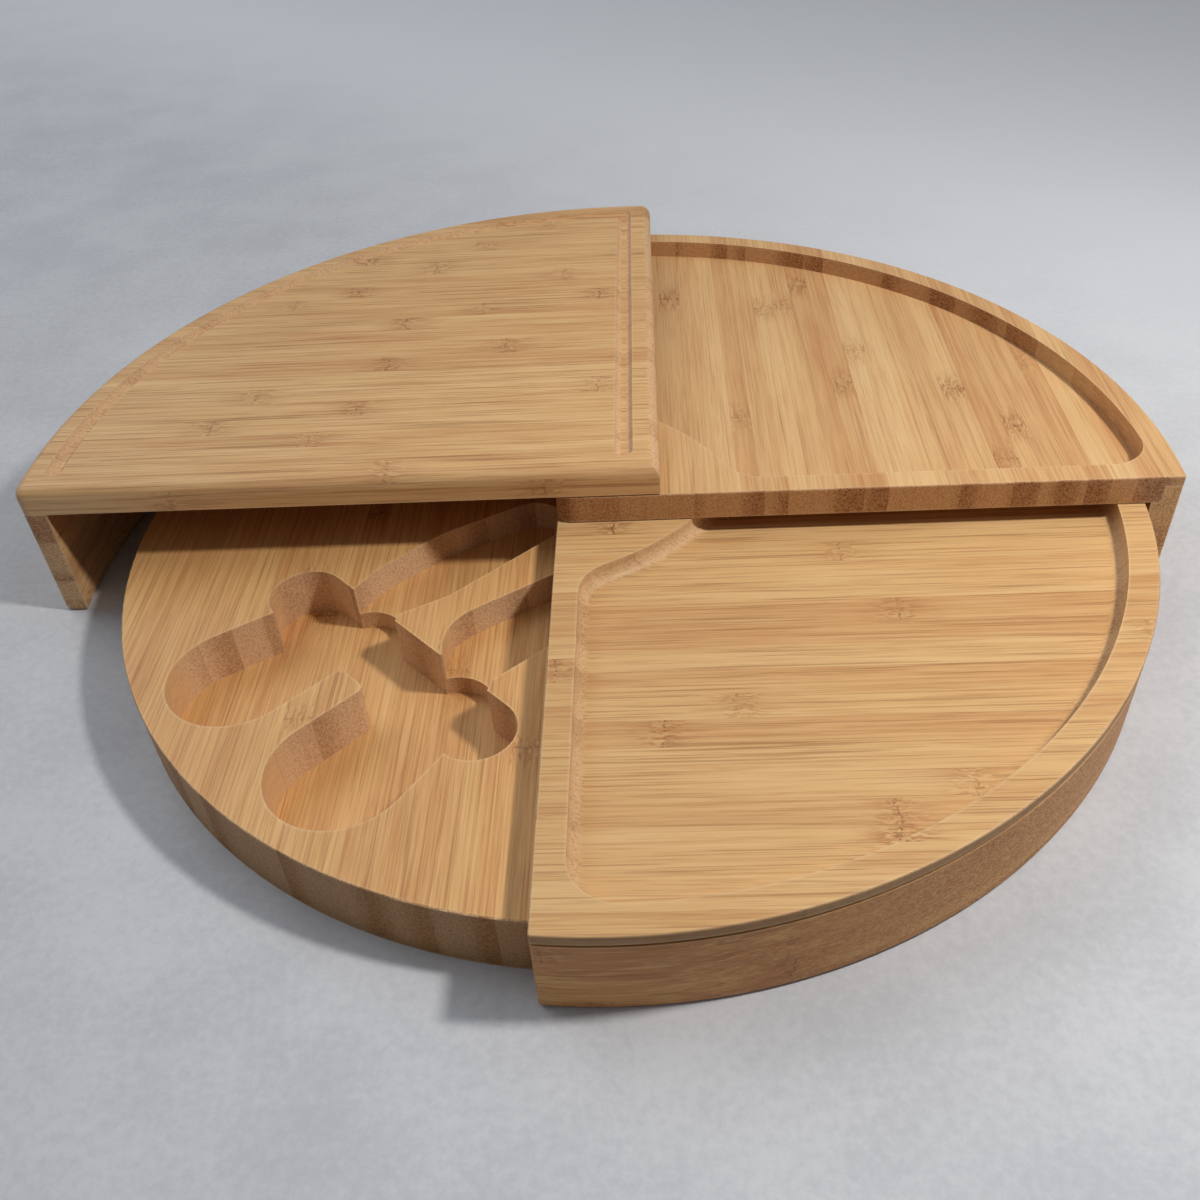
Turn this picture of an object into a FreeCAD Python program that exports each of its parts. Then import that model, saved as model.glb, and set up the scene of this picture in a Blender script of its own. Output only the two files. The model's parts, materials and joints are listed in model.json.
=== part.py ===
import FreeCAD, Part
import math
import os
import Sketcher

# Swivel cheese board. Four quarter-round tiers turn on one upright pivot and are shown swung
# open, as a full circle: a thick block, two trays and a plain top board. Each upper tier has
# a curved wall that reaches down to the table, and shut, the tiers nest into one wedge.
# Millimetres, +Z up, table at z = 0. The origin lies under the middle of the open board.

Vector = FreeCAD.Vector
up = Vector(0, 0, 1)
touching = 0.001
doc = FreeCAD.newDocument("swivel_cheese_board")


# Driving sizes

size_rows = [
    ("block_radius", 162.4, "pivot axis to the curved side of the block"),
    ("wall_thick", 8.6, "curved wall under each upper tier"),
    ("nest_clearance", 1.6, "radial gap between nested tiers"),
    ("edge_offset", 17.0, "how far the straight edges lie beyond the pivot axis"),
    ("tier_swing", 90.0, "degrees from one open tier to the next"),
    ("block_height", 20.8, "thickness of the bottom block"),
    ("board_thick", 9.7, "thickness of each upper board"),
    ("layer_gap", 0.4, "air between one tier and the next"),
    ("apex_round", 5.0, "upright corner of block and trays beside the pivot"),
    ("corner_round", 0.8, "upright corners at the ends of the curved side"),
    ("edge_round", 0.5, "sanded upper edges of block and trays"),
    ("foot_round", 1.6, "lower edges of the curved walls"),
    ("lip_thick", 3.3, "board left above its rabbet"),
    ("tongue_thick", 5.6, "tongue of the wall in the rabbet"),
    ("glue_gap", 0.05, "glue line between tongue and board"),
    ("lower_seam", 0.8, "open seam under the lip of the lower tray"),
    ("middle_seam", 0.1, "closed seam under the lip of the middle tray"),
    ("recess_rim", 8.0, "flat rim along the straight edges of a tray"),
    ("lower_cover", 3.2, "wood between tongue and recess in the lower tray"),
    ("middle_cover", 2.2, "wood between tongue and recess in the middle tray"),
    ("lower_floor", 3.7, "wood under the recess of the lower tray"),
    ("middle_floor", 2.9, "wood under the recess of the middle tray"),
    ("recess_corner", 14.0, "upright corners of the recesses"),
    ("cove_round", 4.0, "cove round the floor of the lower recess"),
    ("hub_arc", 87.5, "radius of the recess edge round the hub"),
    ("hub_reach", 31.3, "pivot axis to that edge, along the diagonal"),
    ("pocket_floor", 3.8, "wood under the handle pockets"),
    ("blade_floor", 10.4, "wood under the blade pockets"),
    ("pocket_rim", 10.6, "handle pockets to the curved side of the block"),
    ("handle_round", 21.0, "round end of a handle pocket"),
    ("handle_spacing", 54.0, "between the centres of the two round ends"),
    ("handle_flare", 12.0, "degrees between the outer side and the diagonal"),
    ("channel_step", 35.4, "centre of the round ends to the finger channel"),
    ("channel_round", 12.0, "half the width of the finger channel"),
    ("channel_length", 85.4, "between the centres of the channel's round ends"),
    ("throat_step", 6.5, "finger channel to the centres of the throats"),
    ("throat_round", 12.4, "round throat between handle and blade"),
    ("throat_spacing", 45.0, "between the centres of the two throats"),
    ("island_round", 2.5, "upright corners between channel and handle pockets"),
    ("back_neck", 15.4, "back blade pocket, inner side at the throat"),
    ("back_waist_step", 24.9, "throat to the bend of the inner side"),
    ("back_waist", 8.2, "inner side at that bend"),
    ("back_edge", 5.9, "inner side at the tip"),
    ("back_tip", 9.6, "pivot axis to the tip along the diagonal"),
    ("back_nose", 25.5, "outer side at the tip"),
    ("back_belly_step", 45.0, "pivot axis to the bend of the outer side"),
    ("back_belly", 35.4, "outer side at that bend"),
    ("back_heel_step", 16.9, "throat to the widest place"),
    ("back_heel", 36.7, "outer side at the widest place"),
    ("back_shoulder", 32.3, "outer side at the throat"),
    ("back_tip_round", 10.0, "corners at the tip"),
    ("back_side_round", 40.0, "bends of the outer side"),
    ("front_neck", 19.4, "front blade pocket, inner side at the throat"),
    ("front_hook_step", 14.9, "throat to the inner corner"),
    ("front_hook", 0.4, "inner corner from the diagonal"),
    ("front_edge", 13.6, "inner side at the tip"),
    ("front_tip", 10.5, "pivot axis to the tip along the diagonal"),
    ("front_nose", 29.7, "outer side at the tip"),
    ("front_heel_step", 30.9, "throat to the widest place"),
    ("front_heel", 33.0, "outer side at the widest place"),
    ("front_shoulder", 30.6, "outer side at the throat"),
    ("front_tip_round", 8.5, "corners at the tip"),
    ("front_hook_round", 18.0, "inner corner"),
    ("top_round", 4.0, "rounded upper edges and outer corners of the top board"),
    ("groove_inset", 11.4, "juice groove's centre line from the edges"),
    ("groove_cutter", 3.1, "radius of the groove's round section"),
    ("groove_depth", 2.2, "depth of the groove"),
    ("dowel_radius", 2.0, "dowels of the top wall"),
    ("dowel_in_wall", 10.0, "length in the wall"),
    ("dowel_cover", 4.2, "wood left above the dowels"),
    ("dowel_relief", 0.3, "hole deeper than the dowel"),
    ("dowel_gap", 0.05, "glue line round a dowel"),
    ("dowel_count", 5, "dowels along the wall"),
    ("dowel_spread", 80.0, "degrees from the first dowel to the last"),
    ("bolt_radius", 3.0, "pivot bolt"),
    ("running_clearance", 0.08, "radial play of block, trays and washers on the bolt"),
    ("head_radius", 6.0, "head of the pivot bolt"),
    ("head_height", 3.4, "height of the head"),
    ("head_edge", 0.6, "chamfer round the head"),
    ("head_lift", 1.0, "head's clearance above the table"),
    ("socket_across", 4.0, "hexagon socket across its flats"),
    ("socket_depth", 2.0, "depth of the socket"),
    ("washer_radius", 9.0, "pivot washers"),
    ("washer_thick", 1.0, "thickness of a washer"),
    ("washer_play", 0.1, "radial room round a washer let into a board"),
    ("head_room", 0.5, "radial room round the head's washer"),
    ("insert_radius", 4.3, "threaded insert in the top board"),
    ("insert_gap", 0.05, "radial room round the insert and in its thread"),
    ("insert_cover", 2.9, "wood left above the insert's hole"),
    ("insert_relief", 0.2, "hole deeper than the insert"),
]

# Places and sizes that follow from the driving ones

place_rows = [
    ("lower_radius", "=sizes.block_radius + sizes.nest_clearance + sizes.wall_thick", ""),
    ("middle_radius", "=lower_radius + sizes.nest_clearance + sizes.wall_thick", ""),
    ("top_radius", "=middle_radius + sizes.nest_clearance + sizes.wall_thick", ""),
    ("pivot_x", "=(top_radius - middle_radius) / 2", "pivot axis from the origin"),
    ("pivot_y", "=(lower_radius - top_radius) / 2", "pivot axis from the origin"),
    ("lower_bottom", "=sizes.block_height + sizes.layer_gap", "underside of each board"),
    ("middle_bottom", "=lower_bottom + sizes.board_thick + sizes.layer_gap", ""),
    ("top_bottom", "=middle_bottom + sizes.board_thick + sizes.layer_gap", ""),
    ("top_surface", "=top_bottom + sizes.board_thick", ""),
    ("handle_along", "=sizes.block_radius - sizes.pocket_rim - sizes.handle_round",
     "pivot axis to the handle pockets' round ends"),
    ("channel_along", "=handle_along - sizes.channel_step", "to the finger channel"),
    ("throat_along", "=channel_along - sizes.throat_step", "to the throats"),
    ("washer_inset", "=sizes.washer_thick - sizes.layer_gap", "washer let into a board"),
    ("bore_radius", "=sizes.bolt_radius + sizes.running_clearance", "in block and trays"),
    ("head_top", "=sizes.head_lift + sizes.head_height", "underside of the head's washer"),
    ("insert_bottom", "=top_bottom + washer_inset", ""),
    ("insert_hole", "=sizes.board_thick - sizes.insert_cover - washer_inset", "depth"),
    ("insert_height", "=insert_hole - sizes.insert_relief", ""),
    ("dowel_hole", "=sizes.board_thick - sizes.dowel_cover", "depth in the board"),
    ("dowel_bore", "=sizes.dowel_radius + sizes.dowel_gap", ""),
    ("dowel_ring", "=top_radius - sizes.wall_thick / 2", "pivot axis to the dowels"),
    ("groove_inner", "=sizes.groove_inset - sizes.edge_offset", "straight run from the pivot"),
    ("groove_ring", "=top_radius - sizes.groove_inset", "curved run from the pivot"),
    ("groove_reach", "=sqrt(groove_ring ^ 2 - groove_inner ^ 2)", "far end of the straight run"),
]


def make_sheet(name, rows):
    sheet = doc.addObject("Spreadsheet::Sheet", name)
    for number, (alias, content, note) in enumerate(rows, start=1):
        sheet.set("A%d" % number, alias)
        sheet.set("B%d" % number, str(content))
        sheet.setAlias("B%d" % number, alias)
        sheet.set("C%d" % number, note)
    return sheet


sizes = make_sheet("sizes", size_rows)
places = make_sheet("places", place_rows)
doc.recompute()


def value(expression):
    return float(places.evalExpression(expression))


# Sketches and features

def bind(item, expressions):
    for path, expression in expressions.items():
        item.setExpression(path, expression)


def make_body(label, bottom, turn):
    """Body at the pivot, raised to bottom and turned about the pivot axis."""
    body = doc.addObject("PartDesign::Body", label)
    bind(body, {
        "Placement.Base.x": "places.pivot_x",
        "Placement.Base.y": "places.pivot_y",
        "Placement.Base.z": bottom,
        "Placement.Rotation.Angle": turn,
    })
    return body


def make_sketch(body, name, level="0", turn="0"):
    """Level sketch at a height in the body, turned about the pivot axis."""
    sketch = body.newObject("Sketcher::SketchObject", name)
    planes = [item for item in body.Origin.OriginFeatures if item.Role == "XY_Plane"]
    sketch.AttachmentSupport = (planes[0], [""])
    sketch.MapMode = "FlatFace"
    bind(sketch, {"AttachmentOffset.Base.z": level, "AttachmentOffset.Rotation.Angle": turn})
    return sketch


def fix_point(sketch, geometry, end, x, y):
    for kind, expression in (("DistanceX", x), ("DistanceY", y)):
        rule = Sketcher.Constraint(kind, -1, 1, geometry, end, value(expression))
        number = sketch.addConstraint(rule)
        sketch.setExpression("Constraints[%d]" % number, expression)


def fix_radius(sketch, geometry, radius):
    number = sketch.addConstraint(Sketcher.Constraint("Radius", geometry, value(radius)))
    sketch.setExpression("Constraints[%d]" % number, radius)


def arc_between(start, finish, radius, turn):
    """Arc from start to finish; turn is 1 for anticlockwise, -1 for clockwise, and twice
    that where it runs more than half way round."""
    chord = finish - start
    side = 1 if turn in (1, -2) else -1
    depth = math.sqrt(radius ** 2 - (chord.Length / 2) ** 2)
    middle = (start + finish) / 2 + up.cross(chord).normalize() * side * depth
    first, last = (start, finish) if turn > 0 else (finish, start)
    angles = [math.atan2(point.y - middle.y, point.x - middle.x) for point in (first, last)]
    return Part.ArcOfCircle(Part.Circle(middle, up, radius), *angles)


def draw_outline(sketch, corners):
    """Closed outline: each corner is x and y, then the radius and turn of a round run after it."""
    points = [Vector(value(corner[0]), value(corner[1]), 0) for corner in corners]
    count = len(corners)
    starts = []
    ends = []
    for number, corner in enumerate(corners):
        start = points[number]
        finish = points[(number + 1) % count]
        if len(corner) == 2:
            sketch.addGeometry(Part.LineSegment(start, finish))
        else:
            sketch.addGeometry(arc_between(start, finish, value(corner[2]), corner[3]))
        forward = len(corner) == 2 or corner[3] > 0
        starts.append(1 if forward else 2)
        ends.append(2 if forward else 1)
    for number, corner in enumerate(corners):
        after = (number + 1) % count
        rule = Sketcher.Constraint("Coincident", number, ends[number], after, starts[after])
        sketch.addConstraint(rule)
        fix_point(sketch, number, starts[number], corner[0], corner[1])
        if len(corner) > 2:
            fix_radius(sketch, number, corner[2])


def draw_circle(sketch, x, y, radius):
    geometry = sketch.addGeometry(Part.Circle(Vector(value(x), value(y), 0), up, value(radius)))
    fix_point(sketch, geometry, 3, x, y)
    fix_radius(sketch, geometry, radius)


def add_feature(body, kind, sketch, length, into_upper=False):
    """Pad upwards from a sketch or pocket down from it; into_upper cuts upwards instead."""
    feature = body.newObject("PartDesign::" + kind, sketch.Name + "_" + kind.lower())
    feature.Profile = sketch
    feature.setExpression("Length", length)
    feature.Reversed = into_upper
    doc.recompute()
    return feature


def round_edges(body, name, chosen, radius):
    """Fillet the edges of the body's present shape that the test chosen accepts."""
    base = body.Tip
    edges = enumerate(base.Shape.Edges, start=1)
    picked = ["Edge%d" % number for number, edge in edges if chosen(edge)]
    fillet = body.newObject("PartDesign::Fillet", body.Name + "_" + name)
    fillet.Base = (base, picked)
    fillet.setExpression("Radius", radius)
    doc.recompute()
    return fillet


def upright_at(x, y):
    """Test for an upright edge at a place in the body."""
    def chosen(edge):
        ends = [vertex.Point for vertex in edge.Vertexes]
        return all(math.hypot(end.x - value(x), end.y - value(y)) < touching for end in ends)
    return chosen


def level_at(height):
    """Test for an edge that lies level at a height in the body."""
    def chosen(edge):
        box = edge.BoundBox
        return max(abs(box.ZMin - value(height)), abs(box.ZMax - value(height))) < touching
    return chosen


def either(*tests):
    return lambda edge: any(test(edge) for test in tests)


# Shapes that several pieces share. Each tier is drawn in the quarter where x and y are
# positive, and its body turns it to its place.

near = "-sizes.edge_offset"


def reach(radius):
    """How far a straight edge runs from the pivot until it meets the curved side."""
    return "sqrt((%s) ^ 2 - sizes.edge_offset ^ 2)" % radius


def quarter(body, name, radius, level="0"):
    sketch = make_sketch(body, name, level)
    draw_outline(sketch, [(near, near), (reach(radius), near, radius, 1), (near, reach(radius))])
    return sketch


def ring(body, name, outer, inner, level="0"):
    sketch = make_sketch(body, name, level)
    draw_outline(sketch, [
        (reach(outer), near, outer, 1),
        (near, reach(outer)),
        (near, reach(inner), inner, -1),
        (reach(inner), near),
    ])
    return sketch


def outer_corners(radius):
    return either(upright_at(reach(radius), near), upright_at(near, reach(radius)))


def pivot_bore(body, length):
    sketch = make_sketch(body, body.Name + "_bore")
    draw_circle(sketch, "0", "0", "places.bore_radius")
    add_feature(body, "Pocket", sketch, length, into_upper=True)


def washer_seat(body):
    sketch = make_sketch(body, body.Name + "_washer_seat")
    draw_circle(sketch, "0", "0", "sizes.washer_radius + sizes.washer_play")
    add_feature(body, "Pocket", sketch, "places.washer_inset", into_upper=True)


# Bottom block with its tool pockets. Pocket sketches are turned so that x runs outwards
# along the block's diagonal and y runs across it.

def handle_outline(side):
    """Handle pocket from the finger channel out to its round end; side is 1 or -1."""
    sign = "" if side > 0 else "-"
    across = "sizes.handle_spacing / 2"
    flare = "(sizes.handle_flare * 1 deg)"
    touch_along = "places.handle_along - sizes.handle_round * sin%s" % flare
    touch_across = "(%s + sizes.handle_round * cos%s)" % (across, flare)
    run = "(%s - places.channel_along)" % touch_along
    return [
        ("places.channel_along", "%s(%s - sizes.handle_round)" % (sign, across)),
        ("places.handle_along", "%s(%s - sizes.handle_round)" % (sign, across),
         "sizes.handle_round", 2 * side),
        (touch_along, sign + touch_across),
        ("places.channel_along", "%s(%s - %s * tan%s)" % (sign, touch_across, run, flare)),
    ]


def channel_outline():
    low = "places.channel_along - sizes.channel_round"
    high = "places.channel_along + sizes.channel_round"
    tip = "(sizes.channel_length / 2 + sizes.channel_round)"
    end = "(sizes.channel_length / 2)"
    round_by = "sizes.channel_round"
    return [
        (high, "-" + end),
        (high, end, round_by, 1),
        ("places.channel_along", tip, round_by, 1),
        (low, end),
        (low, "-" + end, round_by, 1),
        ("places.channel_along", "-" + tip, round_by, 1),
    ]


back_blade = [
    ("places.throat_along", "-sizes.back_neck"),
    ("places.throat_along - sizes.back_waist_step", "-sizes.back_waist"),
    ("sizes.back_tip", "-sizes.back_edge"),
    ("sizes.back_tip", "-sizes.back_nose"),
    ("sizes.back_belly_step", "-sizes.back_belly"),
    ("places.throat_along - sizes.back_heel_step", "-sizes.back_heel"),
    ("places.throat_along", "-sizes.back_shoulder"),
]

front_blade = [
    ("places.throat_along", "sizes.front_neck"),
    ("places.throat_along - sizes.front_hook_step", "sizes.front_hook"),
    ("sizes.front_tip", "sizes.front_edge"),
    ("sizes.front_tip", "sizes.front_nose"),
    ("places.throat_along - sizes.front_heel_step", "sizes.front_heel"),
    ("places.throat_along", "sizes.front_shoulder"),
]

diagonal = "sizes.tier_swing / 2"


def on_diagonal(along, across):
    """Place in the body of a point given along and across the block's diagonal."""
    x = "((%s) * cos(%s * 1 deg) - (%s) * sin(%s * 1 deg))" % (along, diagonal, across, diagonal)
    y = "((%s) * sin(%s * 1 deg) + (%s) * cos(%s * 1 deg))" % (along, diagonal, across, diagonal)
    return x, y


def tool_pocket(body, name, corners, depth):
    sketch = make_sketch(body, name, "sizes.block_height", diagonal)
    draw_outline(sketch, corners)
    add_feature(body, "Pocket", sketch, depth)


def make_tool_block():
    body = make_body("tool_block", "0", "-2 * sizes.tier_swing")
    add_feature(body, "Pad", quarter(body, "block_outline", "sizes.block_radius"),
                "sizes.block_height")
    round_edges(body, "apex", upright_at(near, near), "sizes.apex_round")
    round_edges(body, "corners", outer_corners("sizes.block_radius"), "sizes.corner_round")
    round_edges(body, "upper_edges", level_at("sizes.block_height"), "sizes.edge_round")

    blade_depth = "sizes.block_height - sizes.blade_floor"
    tool_pocket(body, "back_blade", back_blade, blade_depth)
    tips = [upright_at(*on_diagonal(*corner)) for corner in back_blade[2:4]]
    round_edges(body, "back_tip", either(*tips), "sizes.back_tip_round")
    bends = [upright_at(*on_diagonal(*corner)) for corner in back_blade[4:6]]
    round_edges(body, "back_side", either(*bends), "sizes.back_side_round")

    tool_pocket(body, "front_blade", front_blade, blade_depth)
    tips = [upright_at(*on_diagonal(*corner)) for corner in front_blade[2:4]]
    round_edges(body, "front_tip", either(*tips), "sizes.front_tip_round")
    hook = upright_at(*on_diagonal(*front_blade[1]))
    round_edges(body, "front_hook", hook, "sizes.front_hook_round")

    handle_depth = "sizes.block_height - sizes.pocket_floor"
    tool_pocket(body, "finger_channel", channel_outline(), handle_depth)
    for side, name in ((1, "front"), (-1, "back")):
        tool_pocket(body, name + "_handle", handle_outline(side), handle_depth)
        sketch = make_sketch(body, name + "_throat", "sizes.block_height", diagonal)
        draw_circle(sketch, "places.throat_along", "%d * sizes.throat_spacing / 2" % side,
                    "sizes.throat_round")
        add_feature(body, "Pocket", sketch, handle_depth)
    island = "places.channel_along + sizes.channel_round"
    half = "sizes.handle_spacing / 2 - sizes.handle_round"
    ends = [upright_at(*on_diagonal(island, "%d * (%s)" % (side, half))) for side in (1, -1)]
    round_edges(body, "island", either(*ends), "sizes.island_round")

    pivot_bore(body, "sizes.block_height")
    sketch = make_sketch(body, "head_seat")
    draw_circle(sketch, "0", "0", "sizes.washer_radius + sizes.head_room")
    add_feature(body, "Pocket", sketch, "places.head_top + sizes.washer_thick", into_upper=True)


# Trays and curved walls

def recess(body, name, radius, floor):
    """Pocket in a tray, with a straight rim on two sides and the hub cut out by an arc."""
    rim = "(sizes.recess_rim - sizes.edge_offset)"
    behind = "((sizes.hub_reach - sizes.hub_arc) / sqrt(2))"
    far = "sqrt((%s) ^ 2 - %s ^ 2)" % (radius, rim)
    hub = "(%s + sqrt(sizes.hub_arc ^ 2 - (%s - %s) ^ 2))" % (behind, rim, behind)
    sketch = make_sketch(body, name, "sizes.board_thick")
    corners = [(rim, hub), (rim, far, radius, -1), (far, rim), (hub, rim, "sizes.hub_arc", 1)]
    draw_outline(sketch, corners)
    add_feature(body, "Pocket", sketch, "sizes.board_thick - " + floor)
    tests = [upright_at(corner[0], corner[1]) for corner in corners]
    round_edges(body, "recess_corners", either(*tests), "sizes.recess_corner")


def make_tray(tier, turn, coved):
    """Tray board with a rabbet under its curved edge for the wall's tongue."""
    radius = "places.%s_radius" % tier
    body = make_body(tier + "_tray", "places.%s_bottom" % tier, turn)
    inside = "(%s - sizes.tongue_thick - sizes.glue_gap)" % radius
    under = "sizes.board_thick - sizes.lip_thick"
    add_feature(body, "Pad", quarter(body, tier + "_board", inside), under)
    add_feature(body, "Pad", quarter(body, tier + "_lip", radius, under), "sizes.lip_thick")
    round_edges(body, "apex", upright_at(near, near), "sizes.apex_round")
    round_edges(body, "corners", outer_corners(radius), "sizes.corner_round")
    round_edges(body, "upper_edges", level_at("sizes.board_thick"), "sizes.edge_round")
    curve = "(%s - sizes.tongue_thick - sizes.%s_cover)" % (radius, tier)
    recess(body, tier + "_recess", curve, "sizes.%s_floor" % tier)
    if coved:
        cove = "min(sizes.cove_round; 0.9 * (sizes.board_thick - sizes.%s_floor))" % tier
        round_edges(body, "cove", level_at("sizes.%s_floor" % tier), cove)
    pivot_bore(body, "sizes.board_thick")
    washer_seat(body)


def make_tray_wall(tier, turn):
    """Curved wall: full thickness up to the board, and a tongue that rises in the rabbet."""
    radius = "places.%s_radius" % tier
    bottom = "places.%s_bottom" % tier
    body = make_body(tier + "_wall", "0", turn)
    inner = "(%s - sizes.wall_thick)" % radius
    add_feature(body, "Pad", ring(body, tier + "_wall_foot", radius, inner), bottom)
    tongue = ring(body, tier + "_tongue", radius, "(%s - sizes.tongue_thick)" % radius, bottom)
    rise = "sizes.board_thick - sizes.lip_thick - sizes.%s_seam" % tier
    add_feature(body, "Pad", tongue, rise)
    round_edges(body, "corners", outer_corners(radius), "sizes.corner_round")
    round_edges(body, "foot", level_at("0"), "sizes.foot_round")


# Top board, butt-jointed and dowelled on its wall

def dowel_holes(body, name, level, depth, into_upper):
    sketch = make_sketch(body, name, level)
    first = "(sizes.tier_swing - sizes.dowel_spread) / 2 * 1 deg"
    draw_circle(sketch, "places.dowel_ring * cos(%s)" % first,
                "places.dowel_ring * sin(%s)" % first, "places.dowel_bore")
    hole = add_feature(body, "Pocket", sketch, depth, into_upper)
    pattern = body.newObject("PartDesign::PolarPattern", name + "_pattern")
    pattern.Originals = [hole]
    axes = [item for item in body.Origin.OriginFeatures if item.Role == "Z_Axis"]
    pattern.Axis = (axes[0], [""])
    bind(pattern, {"Angle": "sizes.dowel_spread", "Occurrences": "sizes.dowel_count"})
    body.Tip = pattern
    doc.recompute()


def make_top_wall():
    radius = "places.top_radius"
    body = make_body("top_wall", "0", "sizes.tier_swing")
    inner = "(%s - sizes.wall_thick)" % radius
    add_feature(body, "Pad", ring(body, "top_wall_foot", radius, inner), "places.top_bottom")
    round_edges(body, "corners", outer_corners(radius), "sizes.top_round")
    round_edges(body, "foot", level_at("0"), "sizes.foot_round")
    dowel_holes(body, "wall_dowel_holes", "places.top_bottom",
                "sizes.dowel_in_wall + sizes.dowel_relief", False)


def make_groove_cutter():
    """Round bar that follows the juice groove along one straight edge and the curved side."""
    level = "places.top_surface - sizes.groove_depth + sizes.groove_cutter"
    start = doc.addObject("Part::Sphere", "groove_start")
    corner = doc.addObject("Part::Sphere", "groove_corner")
    finish = doc.addObject("Part::Sphere", "groove_end")
    straight = doc.addObject("Part::Cylinder", "groove_straight")
    straight.Placement = FreeCAD.Placement(Vector(), FreeCAD.Rotation(up, Vector(0, 1, 0)))
    bend = doc.addObject("Part::Torus", "groove_bend")
    side = "places.pivot_x - places.groove_inner"
    front = "places.pivot_y + places.groove_inner"
    back = "places.pivot_y + places.groove_reach"
    left = "places.pivot_x - places.groove_reach"
    spots = [(start, side, front), (corner, side, back), (finish, left, front)]
    for ball, x, y in spots:
        bind(ball, {"Radius": "sizes.groove_cutter", "Placement.Base.x": x,
                    "Placement.Base.y": y, "Placement.Base.z": level})
    bind(straight, {"Radius": "sizes.groove_cutter",
                    "Height": "places.groove_reach - places.groove_inner",
                    "Placement.Base.x": side, "Placement.Base.y": front,
                    "Placement.Base.z": level})
    slip = "asin(places.groove_inner / places.groove_ring)"
    bind(bend, {"Radius1": "places.groove_ring", "Radius2": "sizes.groove_cutter",
                "Angle3": "sizes.tier_swing * 1 deg - 2 * " + slip,
                "Placement.Base.x": "places.pivot_x", "Placement.Base.y": "places.pivot_y",
                "Placement.Base.z": level,
                "Placement.Rotation.Angle": "sizes.tier_swing * 1 deg + " + slip})
    cutter = doc.addObject("Part::MultiFuse", "groove_cutter")
    cutter.Shapes = [start, straight, corner, bend, finish]
    return cutter


def make_top_board():
    radius = "places.top_radius"
    body = make_body("top_board_blank", "places.top_bottom", "sizes.tier_swing")
    add_feature(body, "Pad", quarter(body, "top_outline", radius), "sizes.board_thick")
    rounded = either(level_at("sizes.board_thick"), outer_corners(radius))
    round_edges(body, "upper_edges", rounded, "sizes.top_round")
    washer_seat(body)
    sketch = make_sketch(body, "insert_seat", "places.washer_inset")
    draw_circle(sketch, "0", "0", "sizes.insert_radius + sizes.insert_gap")
    add_feature(body, "Pocket", sketch, "places.insert_hole", into_upper=True)
    dowel_holes(body, "board_dowel_holes", "0", "places.dowel_hole", True)
    board = doc.addObject("Part::Cut", "top_board")
    board.Base = body
    board.Tool = make_groove_cutter()


def make_dowels():
    dowels = []
    for number in range(int(value("sizes.dowel_count"))):
        dowel = doc.addObject("Part::Cylinder", "dowel_%d" % (number + 1))
        step = "%d * sizes.dowel_spread / (sizes.dowel_count - 1)" % number
        first = "1.5 * sizes.tier_swing - sizes.dowel_spread / 2"
        angle = "((%s + %s) * 1 deg)" % (first, step)
        bind(dowel, {
            "Radius": "sizes.dowel_radius",
            "Height": "sizes.dowel_in_wall + places.dowel_hole - sizes.dowel_relief",
            "Placement.Base.x": "places.pivot_x + places.dowel_ring * cos" + angle,
            "Placement.Base.y": "places.pivot_y + places.dowel_ring * sin" + angle,
            "Placement.Base.z": "places.top_bottom - sizes.dowel_in_wall",
        })
        dowels.append(dowel)
    group = doc.addObject("Part::Compound", "top_wall_dowels")
    group.Links = dowels


# Pivot: bolt from below, a washer under its head and between the tiers, and the insert

def pivot_solid(kind, name, bottom, expressions):
    """Part primitive that stands on the pivot axis."""
    solid = doc.addObject(kind, name)
    place = {"Placement.Base.x": "places.pivot_x", "Placement.Base.y": "places.pivot_y",
             "Placement.Base.z": bottom}
    bind(solid, {**place, **expressions})
    return solid


def make_collar(label, outer, inner, bottom, height):
    body = make_body(label, bottom, "0")
    sketch = make_sketch(body, label + "_rings")
    draw_circle(sketch, "0", "0", outer)
    draw_circle(sketch, "0", "0", inner)
    add_feature(body, "Pad", sketch, height)


def make_washer(tier, bottom):
    make_collar(tier + "_washer", "sizes.washer_radius", "places.bore_radius", bottom,
                "sizes.washer_thick")


def make_bolt():
    shank = pivot_solid("Part::Cylinder", "shank", "places.head_top", {
        "Radius": "sizes.bolt_radius",
        "Height": "places.insert_bottom + places.insert_height - places.head_top",
    })
    head = pivot_solid("Part::Cylinder", "head", "sizes.head_lift + sizes.head_edge", {
        "Radius": "sizes.head_radius",
        "Height": "sizes.head_height - sizes.head_edge",
    })
    chamfer = pivot_solid("Part::Cone", "head_chamfer", "sizes.head_lift", {
        "Radius1": "sizes.head_radius - sizes.head_edge",
        "Radius2": "sizes.head_radius",
        "Height": "sizes.head_edge",
    })
    whole = doc.addObject("Part::MultiFuse", "bolt_blank")
    whole.Shapes = [shank, head, chamfer]
    socket = pivot_solid("Part::Prism", "socket", "sizes.head_lift", {
        "Circumradius": "sizes.socket_across / sqrt(3)",
        "Height": "sizes.socket_depth",
    })
    socket.Polygon = 6
    bolt = doc.addObject("Part::Cut", "pivot_bolt")
    bolt.Base = whole
    bolt.Tool = socket


make_tool_block()
make_tray("lower", "-sizes.tier_swing", coved=True)
make_tray_wall("lower", "-sizes.tier_swing")
make_tray("middle", "0", coved=False)
make_tray_wall("middle", "0")
make_top_board()
make_top_wall()
make_dowels()
make_bolt()
make_washer("head", "places.head_top")
make_washer("lower", "sizes.block_height")
make_washer("middle", "places.lower_bottom + sizes.board_thick")
make_washer("top", "places.middle_bottom + sizes.board_thick")
make_collar("threaded_insert", "sizes.insert_radius", "sizes.bolt_radius + sizes.insert_gap",
            "places.insert_bottom", "places.insert_height")
doc.recompute()


# Check every object and write each piece

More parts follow.
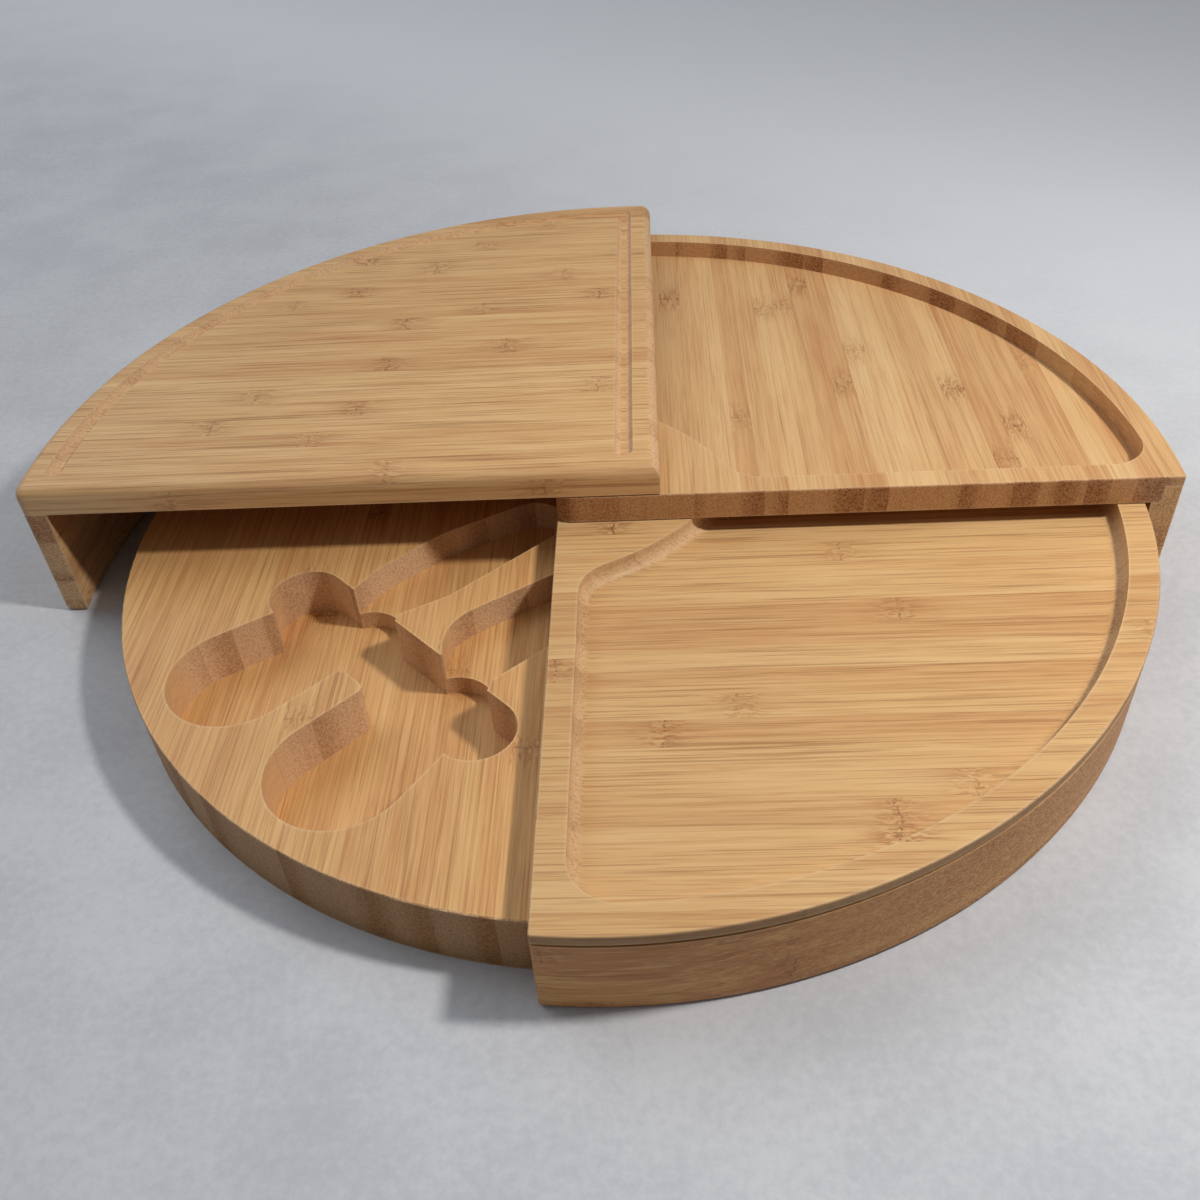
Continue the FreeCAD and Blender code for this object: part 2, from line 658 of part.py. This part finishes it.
pieces = [
    "tool_block", "lower_tray", "lower_wall", "middle_tray", "middle_wall", "top_board",
    "top_wall", "top_wall_dowels", "pivot_bolt", "threaded_insert", "head_washer",
    "lower_washer", "middle_washer", "top_washer",
]
for item in doc.Objects:
    if "Invalid" in item.State or "Error" in item.State:
        raise RuntimeError("%s did not recompute: %s" % (item.Name, item.State))
for name in pieces:
    shape = doc.getObject(name).Shape
    if shape.isNull() or not shape.isValid():
        raise RuntimeError("%s has no valid shape" % name)
    print("%-16s solids %d volume %10.1f" % (name, len(shape.Solids), shape.Volume))

os.makedirs("parts", exist_ok=True)
for name in pieces:
    doc.getObject(name).Shape.exportStep("parts/%s.step" % name)
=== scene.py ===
import json
import math

import bmesh
import bpy
from mathutils import Matrix, Vector

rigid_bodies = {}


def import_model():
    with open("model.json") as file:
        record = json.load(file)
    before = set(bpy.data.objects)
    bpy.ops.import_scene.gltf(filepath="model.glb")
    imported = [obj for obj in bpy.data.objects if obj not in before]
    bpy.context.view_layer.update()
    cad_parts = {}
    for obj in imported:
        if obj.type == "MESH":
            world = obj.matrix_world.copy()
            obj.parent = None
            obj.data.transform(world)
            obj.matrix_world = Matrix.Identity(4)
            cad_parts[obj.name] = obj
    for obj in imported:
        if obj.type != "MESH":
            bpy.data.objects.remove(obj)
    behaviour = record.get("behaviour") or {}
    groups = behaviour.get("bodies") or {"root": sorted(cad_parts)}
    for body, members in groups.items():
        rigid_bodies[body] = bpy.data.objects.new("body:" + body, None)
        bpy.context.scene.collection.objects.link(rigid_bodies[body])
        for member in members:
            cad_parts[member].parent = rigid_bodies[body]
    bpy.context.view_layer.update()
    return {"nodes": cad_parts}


# Swivel cheese board in oiled bamboo: a block with tool pockets, two trays and a grooved top
# board, swung open round one pivot. Metres, +Z up, the board stands on z = 0.

for leftover in list(bpy.data.objects):
    bpy.data.objects.remove(leftover)
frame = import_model()
print("frame loaded")


# Node helpers. Every pattern is solid, and goes by the piece's own coordinates in millimetres.

class Graph:
    def __init__(self, name):
        self.material = bpy.data.materials.new(name)
        self.material.use_nodes = True
        self.tree = self.material.node_tree
        self.shader = self.tree.nodes["Principled BSDF"]

    def add(self, kind, inputs, **settings):
        node = self.tree.nodes.new(kind)
        for key, setting in settings.items():
            setattr(node, key, setting)
        for key, given in inputs.items():
            self.feed(node.inputs[key], given)
        return node

    def feed(self, socket, given):
        if isinstance(given, bpy.types.NodeSocket):
            self.tree.links.new(given, socket)
        else:
            socket.default_value = given

    def math(self, operation, first, second=0.0):
        return self.add("ShaderNodeMath", {0: first, 1: second}, operation=operation).outputs[0]

    def plus(self, first, second):
        return self.math("ADD", first, second)

    def minus(self, first, second):
        return self.math("SUBTRACT", first, second)

    def times(self, first, *others):
        for other in others:
            first = self.math("MULTIPLY", first, other)
        return first

    def step(self, value, low, high):   # 0 at low, 1 at high, smooth between
        inputs = {"Value": value, "From Min": low, "From Max": high}
        return self.add("ShaderNodeMapRange", inputs, interpolation_type="SMOOTHSTEP").outputs[0]

    def vector(self, x, y, z):
        return self.add("ShaderNodeCombineXYZ", {0: x, 1: y, 2: z}).outputs[0]

    def split(self, vector):
        return self.add("ShaderNodeSeparateXYZ", {0: vector}).outputs

    def noise(self, vector, detail=2.0, roughness=0.5, scale=1.0):
        inputs = {"Vector": vector, "Scale": scale, "Detail": detail, "Roughness": roughness}
        return self.add("ShaderNodeTexNoise", inputs).outputs[0]

    def cells(self, vector):            # distance to the nearest cell centre
        return self.add("ShaderNodeTexVoronoi", {"Vector": vector, "Scale": 1.0}).outputs[0]

    def chance(self, vector):           # three random numbers for a whole-number vector
        node = self.add("ShaderNodeTexWhiteNoise", {"Vector": vector}, noise_dimensions="3D")
        return self.split(node.outputs["Color"])

    def mix(self, factor, first, second, blend="MIX"):
        node = self.add("ShaderNodeMix", {"Factor": factor}, data_type="RGBA", blend_type=blend)
        self.feed(node.inputs[6], first)
        self.feed(node.inputs[7], second)
        return node.outputs[2]

    def ramp(self, value, stops):
        node = self.add("ShaderNodeValToRGB", {0: value})
        elements = node.color_ramp.elements
        while len(elements) < len(stops):
            elements.new(0.5)
        for element, (place, colour) in zip(elements, stops):
            element.position = place
            element.color = colour
        return node.outputs[0]

    def millimetres(self):
        place = self.add("ShaderNodeTexCoord", {}).outputs["Object"]
        scaled = self.add("ShaderNodeVectorMath", {0: place, "Scale": 1000.0}, operation="SCALE")
        return self.split(scaled.outputs[0])

    def facing(self, axis):             # 1 where the surface is square to an axis of the piece
        normal = self.add("ShaderNodeTexCoord", {}).outputs["Normal"]
        return self.math("ABSOLUTE", self.split(normal)[axis])

    def sharpEdge(self, reach):         # 1 at outside edges, 0 further than reach from them
        settings = {"inside": True, "only_local": True, "samples": 3}
        node = self.add("ShaderNodeAmbientOcclusion", {"Distance": reach}, **settings)
        return self.minus(1.0, node.outputs["AO"])

    def bump(self, height, distance, strength):
        inputs = {"Height": height, "Distance": distance, "Strength": strength}
        self.feed(self.shader.inputs["Normal"], self.add("ShaderNodeBump", inputs).outputs[0])


def shade(red, green, blue):            # colour from its display values, 0 to 255
    parts = [value / 255 for value in (red, green, blue)]
    linear = [p / 12.92 if p <= 0.04045 else ((p + 0.055) / 1.055) ** 2.4 for p in parts]
    return (*linear, 1.0)


# Bamboo. Strips are glued side by side. Each has its own tone, fibres that run along the
# grain and end as dots on cut ends, and a node where the cane was jointed.

# Two tones stand in for light: the deep brown outer tone is painted shade on round outer faces, and
# the palest edge tone is partly a painted highlight.
tones = {
    "pale": shade(238, 203, 150), "honey": shade(226, 184, 128), "tan": shade(207, 155, 103),
    "toast": shade(180, 122, 72), "fibre": shade(138, 84, 42), "node": shade(116, 68, 34),
    "smear": shade(170, 110, 60), "cutDense": shade(160, 108, 66), "milled": shade(224, 196, 168),
    "wornAndHighlit": shade(244, 220, 182), "rim": shade(144, 100, 48),
}
figure = {                              # sizes along and across the grain, in millimetres
    "fibre": (60.0, 0.95), "band": (120.0, 3.4), "warmth": (42.0, 7.0), "hair": (80.0, 0.75),
    "hairBreak": (45.0, 3.0), "bundle": (26.0, 0.62), "pore": (26.0, 1.15), "grit": (1.1, 0.55),
    "wiggle": (12.0, 3.6), "swirl": (7.0, 3.0), "smear": (9.0, 0.70), "jointGap": (5.0, 1.3),
    "crumple": (2.8, 0.8),
}
markShare = {                           # how much of each mark's colour shows, from 0 to 1
    "paleFibre": 0.9, "bundle": 0.3, "seam": 0.2, "smear": 0.75, "crumple": 0.6,
    "joint": 0.75, "gritPale": 0.6, "gritDark": 0.75, "pores": 0.75, "denseSide": 0.08,
}
extent = {                              # distances in millimetres
    "wiggle": 4.0, "curl": 5.0, "smear": 16.0, "wearAndHighlight": 0.9, "outerFace": (1.2, 0.6),
}


def pivotAxis():                        # x and y of the pivot, in millimetres
    bolt = frame["nodes"]["pivot_bolt"]
    corners = [bolt.matrix_world @ Vector(corner) for corner in bolt.bound_box]
    return sum(corners, Vector()).xy / len(corners) * 1000


class Bamboo(Graph):
    def __init__(self, piece, look):
        super().__init__(piece.name + "_bamboo")
        self.look = look
        place = self.millimetres()
        pivot = pivotAxis()
        reach = max((vertex.co.xy * 1000 - pivot).length for vertex in piece.data.vertices)
        offsets = [self.minus(place[axis], pivot[axis]) for axis in (0, 1)]
        squares = [self.times(offset, offset) for offset in offsets]
        fromPivot = self.math("SQRT", self.plus(*squares))
        start, full = [reach - depth for depth in extent["outerFace"]]
        self.outside = self.step(fromPivot, start, full)    # 1 on the round outer face only
        self.grain, self.stack, self.other = [place[axis] for axis in look["axes"]]
        self.cutEnd = self.step(self.facing(look["axes"][0]), 0.15, 0.58)
        self.layStrips()
        self.placeNodes()
        self.growFibres()
        self.paint()
        self.finish()

    def along(self, size, bend=0.0):    # the coordinates, shrunk to features of this size
        length, width = size
        stack = self.plus(self.stack, bend)
        other = self.plus(self.other, bend)
        return self.vector(self.times(self.grain, 1 / length),
                           self.times(stack, 1 / width), self.times(other, 1 / width))

    def layStrips(self):
        look = self.look
        drift = self.noise(self.vector(0.0, self.times(self.stack, 0.02), look["seed"]), 1.0)
        across = self.times(self.plus(self.stack, look["stripShift"]), 1 / look["stripWidth"])
        across = self.plus(across, self.times(drift, 0.8))
        self.strip = self.math("FLOOR", across)
        inStrip = self.minus(across, self.strip)
        self.tone, lean, self.start = self.chance(self.vector(self.strip, look["seed"], 0.0))
        self.fromSeam = self.minus(0.5, self.math("ABSOLUTE", self.minus(inStrip, 0.5)))
        leftOrRight = self.math("GREATER_THAN", lean, 0.5)
        turned = self.minus(1.0, inStrip)
        self.dense = self.add("ShaderNodeMix", {0: leftOrRight, 2: inStrip, 3: turned}).outputs[0]

    def placeNodes(self):
        look = self.look
        turns = self.times(self.plus(self.grain, look["nodeShift"]), 1 / look["nodeEvery"])
        turns = self.plus(turns, self.times(self.start, 7.0))
        joint = self.math("ROUND", turns)
        wiggle = self.minus(self.noise(self.along(figure["wiggle"]), 2.0), 0.5)
        wiggle = self.times(wiggle, extent["wiggle"])
        self.fromNode = self.plus(self.times(self.minus(turns, joint), look["nodeEvery"]), wiggle)
        near = self.math("ABSOLUTE", self.fromNode)
        chances = self.chance(self.vector(self.strip, joint, look["seed"]))
        picked, self.nodeSize = chances[:2]
        self.marked = self.math("LESS_THAN", picked, look["nodeShare"])
        self.atNode = self.times(self.minus(1.0, self.step(near, 0.5, look["ripple"])), self.marked)
        beside = self.minus(1.0, self.step(near, 1.0, extent["smear"]))
        self.byNode = self.times(beside, self.marked)
        swirl = self.minus(self.noise(self.along(figure["swirl"]), 1.0), 0.5)
        self.curl = self.times(swirl, self.atNode, extent["curl"])

    def growFibres(self):
        self.fine = self.noise(self.along(figure["fibre"], self.curl), 4.0, 0.78)
        self.bands = self.noise(self.along(figure["band"]), 2.0, 0.55)
        self.warm = self.noise(self.along(figure["warmth"]), 2.0, 0.5)
        thread = self.step(self.noise(self.along(figure["hair"], self.curl), 1.0), 0.57, 0.63)
        broken = self.step(self.noise(self.along(figure["hairBreak"]), 1.0), 0.38, 0.60)
        self.hair = self.times(thread, self.plus(self.times(broken, 0.65), 0.35))
        fromBundle = self.cells(self.along(figure["bundle"], self.curl))
        self.bundle = self.minus(1.0, self.step(fromBundle, 0.08, 0.36))

    def paint(self):
        look = self.look
        level = self.plus(self.times(self.tone, look["toneSpread"]), look["toneStart"])
        level = self.plus(level, self.times(self.minus(self.bands, 0.5), look["bands"]))
        level = self.plus(level, self.times(self.minus(self.warm, 0.5), look["mottle"]))
        level = self.plus(level, self.times(self.dense, markShare["denseSide"]))
        colour = self.ramp(level, [(0.0, tones["pale"]), (0.35, tones["honey"]),
                                   (0.70, tones["tan"]), (1.0, tones["toast"])])
        dark = self.times(self.step(self.fine, 0.51, 0.61), look["fibres"])
        colour = self.mix(dark, colour, tones["toast"])
        light = self.step(self.fine, 0.49, 0.39)
        light = self.times(light, look["fibres"], markShare["paleFibre"])
        colour = self.mix(light, colour, tones["pale"])
        crowd = self.plus(self.times(self.dense, markShare["bundle"]), 0.06)
        bundle = self.times(self.bundle, crowd)
        colour = self.mix(bundle, colour, tones["fibre"])
        self.hairDark = self.times(self.hair, look["hairs"])
        colour = self.mix(self.hairDark, colour, tones["fibre"])
        colour = self.mix(self.cutEnd, colour, self.cutEndColour())
        colour = self.markNodes(colour)
        seam = self.minus(1.0, self.step(self.fromSeam, 0.004, 0.020))
        seam = self.times(seam, markShare["seam"])
        colour = self.mix(seam, colour, tones["fibre"])
        upright = self.minus(1.0, self.facing("Z"))
        milled = self.times(upright, self.minus(1.0, self.outside), look["milled"])
        colour = self.mix(milled, colour, tones["milled"])
        # Painted shade: the round outer faces are darkened towards a deep brown.
        rim = self.times(upright, self.outside, look["rim"])
        colour = self.mix(rim, colour, tones["rim"])
        # Convex edges are paled: partly wear, and partly a painted highlight where the edges catch
        # the light.
        wornAndHighlit = self.step(self.sharpEdge(extent["wearAndHighlight"] / 1000), 0.06, 0.45)
        wornAndHighlit = self.times(wornAndHighlit, look["wearAndHighlight"])
        colour = self.mix(wornAndHighlit, colour, tones["wornAndHighlit"])
        self.feed(self.shader.inputs["Base Color"], self.mix(1.0, colour, look["tint"], "MULTIPLY"))

    def cutEndColour(self):
        look = self.look
        crowd = self.plus(self.times(self.dense, 0.40), self.times(self.tone, 0.80))
        crowd = self.times(self.step(crowd, 0.55, 0.90), look["endShade"])
        colour = self.mix(crowd, look["cut"], tones["cutDense"])
        grit = self.noise(self.along(figure["grit"]), 2.0, 0.75)
        light = self.times(self.step(grit, 0.49, 0.59), markShare["gritPale"], look["grit"])
        dark = self.times(self.step(grit, 0.51, 0.40), markShare["gritDark"], look["grit"])
        colour = self.mix(dark, self.mix(light, colour, tones["pale"]), tones["toast"])
        self.pores = self.minus(1.0, self.step(self.cells(self.along(figure["pore"])), 0.22, 0.48))
        dots = self.times(self.pores, self.plus(self.times(crowd, markShare["pores"]), 0.08))
        return self.mix(dots, colour, tones["fibre"])

    def markNodes(self, colour):
        size = self.plus(self.times(self.nodeSize, 0.6), 0.40)
        streak = self.noise(self.along(figure["smear"], self.curl), 3.0, 0.65)
        smear = self.times(self.step(streak, 0.40, 0.64), self.byNode, size, markShare["smear"])
        colour = self.mix(smear, colour, tones["smear"])
        gaps = self.noise(self.along(figure["jointGap"]), 1.0)
        line = self.minus(1.0, self.step(self.math("ABSOLUTE", self.fromNode), 0.12, 0.50))
        line = self.times(line, self.step(gaps, 0.45, 0.55))
        crumple = self.step(self.noise(self.along(figure["crumple"]), 2.0, 0.6), 0.54, 0.64)
        crumple = self.times(crumple, self.atNode, markShare["crumple"])
        darkest = self.math("MAXIMUM", line, crumple)
        self.nodeDark = self.times(darkest, self.marked, size, markShare["joint"])
        return self.mix(self.nodeDark, colour, tones["node"])

    def finish(self):
        rough = self.plus(self.times(self.fine, 0.20), 0.36)
        rough = self.plus(rough, self.times(self.cutEnd, 0.14))
        self.feed(self.shader.inputs["Roughness"], rough)
        self.shader.inputs["IOR"].default_value = 1.42
        relief = self.minus(self.times(self.fine, 0.6), self.times(self.hairDark, 0.5))
        relief = self.minus(relief, self.times(self.nodeDark, 0.8))
        relief = self.minus(relief, self.times(self.pores, self.cutEnd, 0.4))
        self.bump(relief, 0.00016, self.look["relief"])


# In each look, axes gives the piece's axis along the grain, the one across the strips and the
# third. Widths, shifts, nodeEvery and ripple are in millimetres. Tones run from 0, pale, to 1,
# toast. The seed picks the strips' own tones and nodes, and the rest are shares.

# In the looks, the outer share sets painted shade on the round outer faces, and the edge share sets
# a paling that is partly wear and partly painted highlight.
blockLook = {
    "axes": "YXZ", "seed": 3.0, "tint": (0.98, 0.91, 0.79, 1.0), "cut": shade(232, 202, 172),
    "stripWidth": 8.3, "stripShift": 2.0, "toneStart": 0.34, "toneSpread": 0.24,
    "bands": 0.22, "mottle": 0.45, "fibres": 0.4, "hairs": 0.3, "relief": 0.6,
    "nodeEvery": 240.0, "nodeShift": 0.0, "nodeShare": 0.45, "ripple": 7.0,
    "endShade": 0.9, "grit": 1.0, "milled": 0.4, "rim": 0.6, "wearAndHighlight": 0.35,
}
lowerTrayLook = {
    "axes": "XYZ", "seed": 11.0, "tint": (0.87, 0.83, 0.78, 1.0), "cut": shade(230, 192, 146),
    "stripWidth": 9.6, "stripShift": 1.0, "toneStart": 0.14, "toneSpread": 0.38,
    "bands": 0.16, "mottle": 0.45, "fibres": 0.36, "hairs": 0.4, "relief": 0.6,
    "nodeEvery": 230.0, "nodeShift": 0.0, "nodeShare": 0.7, "ripple": 7.0,
    "endShade": 0.3, "grit": 0.6, "milled": 0.2, "rim": 0.65, "wearAndHighlight": 0.3,
}
middleTrayLook = {
    "axes": "YXZ", "seed": 23.0, "tint": (0.89, 0.86, 0.85, 1.0), "cut": shade(200, 152, 104),
    "stripWidth": 7.8, "stripShift": 3.5, "toneStart": 0.19, "toneSpread": 0.38,
    "bands": 0.22, "mottle": 0.45, "fibres": 0.3, "hairs": 0.22, "relief": 0.6,
    "nodeEvery": 160.0, "nodeShift": 0.0, "nodeShare": 0.55, "ripple": 13.0,
    "endShade": 1.0, "grit": 0.55, "milled": 0.0, "rim": 0.2, "wearAndHighlight": 0.22,
}
topBoardLook = {
    "axes": "XYZ", "seed": 42.0, "tint": (0.93, 0.9, 0.87, 1.0), "cut": shade(228, 190, 148),
    "stripWidth": 9.8, "stripShift": 4.0, "toneStart": 0.26, "toneSpread": 0.26,
    "bands": 0.22, "mottle": 0.45, "fibres": 0.46, "hairs": 0.46, "relief": 0.65,
    "nodeEvery": 121.0, "nodeShift": -32.0, "nodeShare": 0.75, "ripple": 7.0,
    "endShade": 0.2, "grit": 0.6, "milled": 0.12, "rim": 0.0, "wearAndHighlight": 0.3,
}
lowerWallLook = {
    "axes": "XZY", "seed": 57.0, "tint": (0.98, 0.86, 0.66, 1.0), "cut": shade(206, 166, 124),
    "stripWidth": 8.2, "stripShift": 1.4, "toneStart": 0.32, "toneSpread": 0.42,
    "bands": 0.35, "mottle": 0.95, "fibres": 0.46, "hairs": 0.35, "relief": 0.5,
    "nodeEvery": 110.0, "nodeShift": 0.0, "nodeShare": 1.0, "ripple": 9.0,
    "endShade": 0.45, "grit": 0.8, "milled": 0.0, "rim": 0.0, "wearAndHighlight": 0.3,
}
middleWallLook = {
    "axes": "YZX", "seed": 64.0, "tint": (0.97, 0.88, 0.72, 1.0), "cut": shade(206, 166, 124),
    "stripWidth": 8.2, "stripShift": 0.6, "toneStart": 0.32, "toneSpread": 0.42,
    "bands": 0.3, "mottle": 0.8, "fibres": 0.46, "hairs": 0.35, "relief": 0.5,
    "nodeEvery": 170.0, "nodeShift": 0.0, "nodeShare": 0.9, "ripple": 9.0,
    "endShade": 0.5, "grit": 0.8, "milled": 0.0, "rim": 0.0, "wearAndHighlight": 0.3,
}
topWallLook = {
    "axes": "YZX", "seed": 71.0, "tint": (0.95, 0.91, 0.86, 1.0), "cut": shade(214, 176, 134),
    "stripWidth": 8.3, "stripShift": 0.2, "toneStart": 0.28, "toneSpread": 0.5,
    "bands": 0.3, "mottle": 0.7, "fibres": 0.46, "hairs": 0.35, "relief": 0.5,
    "nodeEvery": 170.0, "nodeShift": 0.0, "nodeShare": 0.9, "ripple": 8.0,
    "endShade": 1.0, "grit": 0.8, "milled": 0.1, "rim": 0.0, "wearAndHighlight": 0.4,
}
dowelLook = {
    "axes": "ZXY", "seed": 5.0, "tint": (1.0, 1.0, 1.0, 1.0), "cut": shade(214, 172, 124),
    "stripWidth": 30.0, "stripShift": 0.0, "toneStart": 0.15, "toneSpread": 0.2,
    "bands": 0.2, "mottle": 0.45, "fibres": 0.4, "hairs": 0.2, "relief": 0.4,
    "nodeEvery": 400.0, "nodeShift": 0.0, "nodeShare": 0.0, "ripple": 7.0,
    "endShade": 0.3, "grit": 0.5, "milled": 0.0, "rim": 0.0, "wearAndHighlight": 0.2,
}


def dress(node, material):
    for slot in frame["nodes"][node].material_slots:
        slot.material = material


for node, look in (
    ("tool_block", blockLook), ("lower_tray", lowerTrayLook), ("middle_tray", middleTrayLook),
    ("top_board", topBoardLook), ("lower_wall", lowerWallLook), ("middle_wall", middleWallLook),
    ("top_wall", topWallLook), ("top_wall_dowels", dowelLook),
):
    dress(node, Bamboo(frame["nodes"][node], look).material)
print("bamboo done")


# Pivot hardware: zinc bolt, brass insert, nylon washers

boltLook = {"colour": shade(178, 181, 186), "dull": shade(128, 130, 133), "rough": 0.3}
insertLook = {"colour": shade(190, 158, 92), "dull": shade(134, 104, 56), "rough": 0.32}
washerLook = {"colour": shade(226, 222, 209), "dull": shade(198, 192, 175), "rough": 0.48}
perMillimetre = {"round": 0.15, "lengthwise": 9.0, "patch": 0.35, "mottle": 0.9}


def turnedMetal(name, look):
    graph = Graph(name)
    x, y, z = graph.millimetres()
    across = [graph.times(place, perMillimetre["round"]) for place in (x, y)]
    turned = graph.vector(*across, graph.times(z, perMillimetre["lengthwise"]))
    rings = graph.noise(turned, 3.0)    # tool marks: long round the piece, fine along it
    patches = graph.noise(graph.vector(x, y, z), 3.0, 0.6, perMillimetre["patch"])
    dull = graph.times(graph.step(patches, 0.40, 0.72), 0.6)
    colour = graph.mix(dull, look["colour"], look["dull"])
    graph.feed(graph.shader.inputs["Base Color"], colour)
    rough = graph.plus(graph.times(rings, 0.25), look["rough"])
    graph.feed(graph.shader.inputs["Roughness"], rough)
    graph.shader.inputs["Metallic"].default_value = 1.0
    graph.bump(rings, 0.00005, 0.4)
    return graph.material


def mouldedNylon(name, look):
    graph = Graph(name)
    x, y, z = graph.millimetres()
    mottle = graph.noise(graph.vector(x, y, z), 4.0, 0.6, perMillimetre["mottle"])
    colour = graph.mix(graph.step(mottle, 0.35, 0.75), look["colour"], look["dull"])
    graph.feed(graph.shader.inputs["Base Color"], colour)
    rough = graph.plus(graph.times(mottle, 0.2), look["rough"])
    graph.feed(graph.shader.inputs["Roughness"], rough)
    graph.bump(mottle, 0.00006, 0.3)
    return graph.material


dress("pivot_bolt", turnedMetal("zinc_plate", boltLook))
dress("threaded_insert", turnedMetal("turned_brass", insertLook))
nylon = mouldedNylon("nylon", washerLook)
for node in ("head_washer", "lower_washer", "middle_washer", "top_washer"):
    dress(node, nylon)
print("pivot done")


# Floor: pale grey paper, with painted light making it a little paler at the back and right

floorLook = {
    "half": 4.0, "pale": shade(207, 209, 213), "grey": shade(192, 194, 199),
    "far": shade(234, 236, 240), "farShare": 0.9, "farFrom": 120.0, "farTo": 520.0,
    "cloud": 0.02, "fleck": 0.35,
}


def makeFloor(look):
    mesh = bpy.data.meshes.new("floor")
    sheet = bmesh.new()
    bmesh.ops.create_grid(sheet, x_segments=1, y_segments=1, size=look["half"])
    sheet.to_mesh(mesh)
    sheet.free()
    floor = bpy.data.objects.new("floor", mesh)
    bpy.context.scene.collection.objects.link(floor)
    graph = Graph("paper")
    x, y, z = graph.millimetres()
    place = graph.vector(x, y, z)
    cloud = graph.noise(place, 3.0, 0.6, look["cloud"])
    fleck = graph.noise(place, 4.0, 0.7, look["fleck"])
    mottle = graph.times(graph.plus(cloud, fleck), 0.5)
    colour = graph.mix(graph.step(mottle, 0.35, 0.65), look["grey"], look["pale"])
    # Painted light: the paper is mixed towards a paler colour towards the back and right.
    back = graph.plus(y, graph.times(x, 0.8))
    far = graph.times(graph.step(back, look["farFrom"], look["farTo"]), look["farShare"])
    colour = graph.mix(far, colour, look["far"])
    graph.feed(graph.shader.inputs["Base Color"], colour)
    graph.shader.inputs["Roughness"].default_value = 0.9
    graph.bump(fleck, 0.0004, 0.25)
    mesh.materials.append(graph.material)


makeFloor(floorLook)
print("floor done")


# Light: a small lamp to the right, a little in front, and a wide softbox behind to the left

keyLook = {
    "azimuth": -21.2, "elevation": 52.9, "distance": 0.596, "size": 0.06, "power": 2.15,
    "colour": (1.0, 0.97, 0.93),
}
softboxLook = {
    "azimuth": 150.0, "elevation": 47.0, "distance": 1.5, "size": 1.2, "power": 7.0,
    "colour": (0.93, 0.96, 1.0),
}
roomLook = {
    "colour": (0.93, 0.96, 1.0, 1.0), "level": 0.07, "bright": 0.34, "below": 0.80,
    "towards": (-0.15, 0.35, 0.92), "belowFrom": 0.25,
}


def makeLamp(name, look):
    lamp = bpy.data.lights.new(name, "AREA")
    lamp.shape = "DISK"
    lamp.size = look["size"]
    lamp.energy = look["power"]
    lamp.color = look["colour"]
    azimuth, elevation = math.radians(look["azimuth"]), math.radians(look["elevation"])
    level = math.cos(elevation)
    way = Vector((level * math.cos(azimuth), level * math.sin(azimuth), math.sin(elevation)))
    place = Matrix.Translation(way * look["distance"])
    holder = bpy.data.objects.new(name, lamp)
    holder.matrix_world = place @ way.to_track_quat("Z", "Y").to_matrix().to_4x4()
    bpy.context.scene.collection.objects.link(holder)


def lightRoom(look):                    # brightest overhead, and from below for the underside
    world = bpy.data.worlds.new("room")
    bpy.context.scene.world = world
    world.use_nodes = True
    nodes = world.node_tree.nodes
    links = world.node_tree.links
    way = nodes.new("ShaderNodeTexCoord")
    total = nodes.new("ShaderNodeMath")
    parts = (
        (look["towards"], 0.0, look["level"], look["bright"]),
        ((0.0, 0.0, -1.0), look["belowFrom"], 0.0, look["below"]),
    )
    for socket, (towards, start, least, most) in enumerate(parts):
        share = nodes.new("ShaderNodeVectorMath")
        share.operation = "DOT_PRODUCT"
        share.inputs[1].default_value = towards
        fade = nodes.new("ShaderNodeMapRange")
        fade.inputs["From Min"].default_value = start
        fade.inputs["To Min"].default_value = least
        fade.inputs["To Max"].default_value = most
        links.new(way.outputs["Generated"], share.inputs[0])
        links.new(share.outputs["Value"], fade.inputs["Value"])
        links.new(fade.outputs["Result"], total.inputs[socket])
    background = nodes["Background"]
    background.inputs["Color"].default_value = look["colour"]
    links.new(total.outputs[0], background.inputs["Strength"])


makeLamp("key", keyLook)
makeLamp("softbox", softboxLook)
lightRoom(roomLook)
print("light done")


# Camera, found from the photograph's own edges, with its frame taken as 1200 by 1200

cameraLook = {
    "place": (0.019863, -0.332719, 0.26049), "pitch": 41.118, "yaw": -3.278, "roll": 3.916,
    "focal": 1170.86, "centre": (606.4, 608.8), "frame": 1200.0, "sensor": 36.0, "near": 0.01,
}


def makeCamera(look):
    camera = bpy.data.cameras.new("camera")
    camera.sensor_width = look["sensor"]
    camera.lens = look["sensor"] * look["focal"] / look["frame"]
    camera.shift_x = (look["frame"] / 2 - look["centre"][0]) / look["frame"]
    camera.shift_y = (look["centre"][1] - look["frame"] / 2) / look["frame"]
    camera.clip_start = look["near"]
    pitch, yaw, roll = [math.radians(look[key]) for key in ("pitch", "yaw", "roll")]
    level = Vector((math.sin(yaw), math.cos(yaw), 0.0))
    ahead = level * math.cos(pitch) - Vector((0.0, 0.0, math.sin(pitch)))
    right = Vector((math.cos(yaw), -math.sin(yaw), 0.0))
    down = ahead.cross(right)
    rightRolled = right * math.cos(roll) + down * math.sin(roll)
    upRolled = right * math.sin(roll) - down * math.cos(roll)
    turn = Matrix((rightRolled, upRolled, -ahead)).transposed()
    holder = bpy.data.objects.new("camera", camera)
    holder.matrix_world = Matrix.Translation(Vector(look["place"])) @ turn.to_4x4()
    bpy.context.scene.collection.objects.link(holder)
    bpy.context.scene.camera = holder


makeCamera(cameraLook)
bpy.context.scene.view_settings.view_transform = "Standard"
print("camera done")
